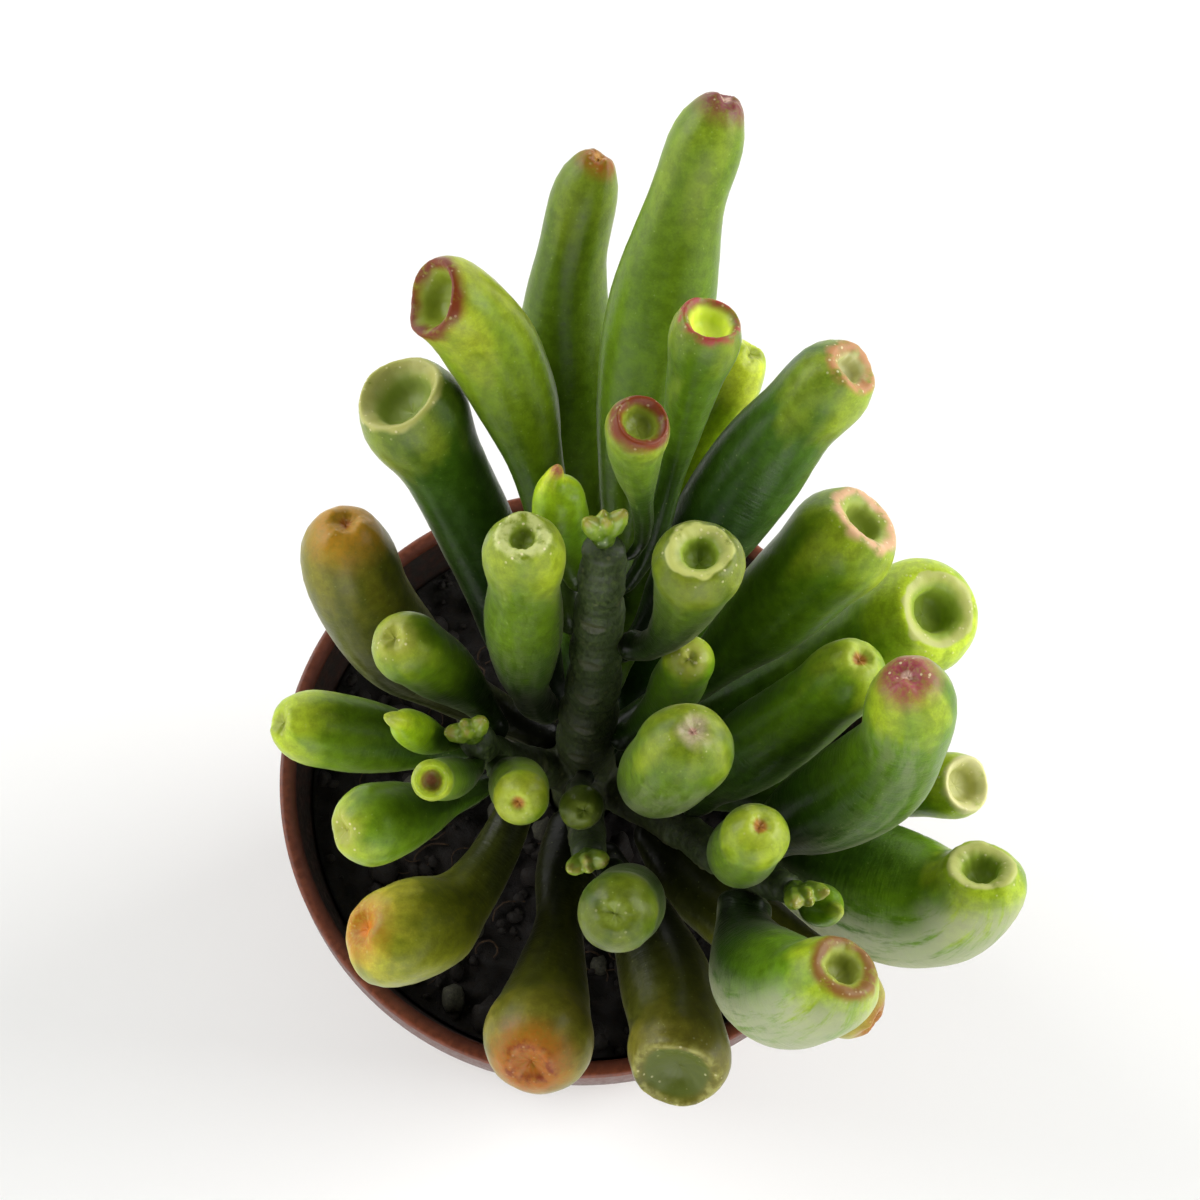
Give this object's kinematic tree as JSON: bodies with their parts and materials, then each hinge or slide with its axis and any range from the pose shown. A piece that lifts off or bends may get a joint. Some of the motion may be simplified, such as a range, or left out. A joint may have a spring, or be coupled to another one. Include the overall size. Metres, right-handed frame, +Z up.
{
  "type": "trumpet jade plant in a pot",
  "caption": "Potted trumpet jade: upright finger-shaped succulent leaves with dimpled, reddish tips on short branching stems, in a small round nursery pot.",
  "frame": {"origin": "centre of the pot's flat foot, on its axis", "axes": "+Z up along the pot's axis; +Y towards the tallest leaves at the back; +X towards the side with the longest side shoot"},
  "size_m": [0.0701, 0.0797, 0.1128],
  "materials": {
    "leaf_lime": "waxy satin leaf skin",
    "leaf_fresh": "waxy satin leaf skin",
    "leaf_green": "waxy satin leaf skin",
    "leaf_deep": "waxy satin leaf skin",
    "leaf_olive": "waxy satin leaf skin",
    "stem_bark": "smooth green-brown bark",
    "pot_plastic": "satin moulded plastic",
    "soil": "moist crumbly peat"
  },
  "bodies": {
    "root": {"pot": "pot_plastic", "soil": "soil", "stem": "stem_bark", "growing_tip_main": "leaf_lime", "growing_tip_left": "leaf_lime", "growing_tip_front": "leaf_lime", "growing_tip_right": "leaf_lime", "leaf_main_01": "leaf_green", "leaf_main_02": "leaf_green", "leaf_main_03": "leaf_lime", "leaf_main_04": "leaf_deep", "leaf_main_05": "leaf_green", "leaf_main_06": "leaf_fresh", "leaf_main_07": "leaf_lime", "leaf_main_08": "leaf_deep", "leaf_main_09": "leaf_green", "leaf_main_10": "leaf_fresh", "leaf_main_11": "leaf_green", "leaf_main_12": "leaf_fresh", "leaf_main_13": "leaf_lime", "leaf_main_14": "leaf_olive", "leaf_main_15": "leaf_deep", "leaf_main_16": "leaf_olive", "leaf_main_17": "leaf_green", "leaf_main_18": "leaf_green", "leaf_main_19": "leaf_deep", "leaf_left_01": "leaf_olive", "leaf_left_02": "leaf_fresh", "leaf_left_03": "leaf_lime", "leaf_left_04": "leaf_fresh", "leaf_left_05": "leaf_lime", "leaf_left_06": "leaf_fresh", "leaf_left_07": "leaf_fresh", "leaf_front_01": "leaf_olive", "leaf_front_02": "leaf_green", "leaf_right_01": "leaf_fresh", "leaf_right_02": "leaf_fresh", "leaf_right_03": "leaf_green", "leaf_right_04": "leaf_green", "leaf_right_05": "leaf_fresh", "leaf_right_06": "leaf_green", "leaf_right_07": "leaf_green", "leaf_right_08": "leaf_olive", "leaf_right_09": "leaf_fresh"}
  },
  "joints": []
}
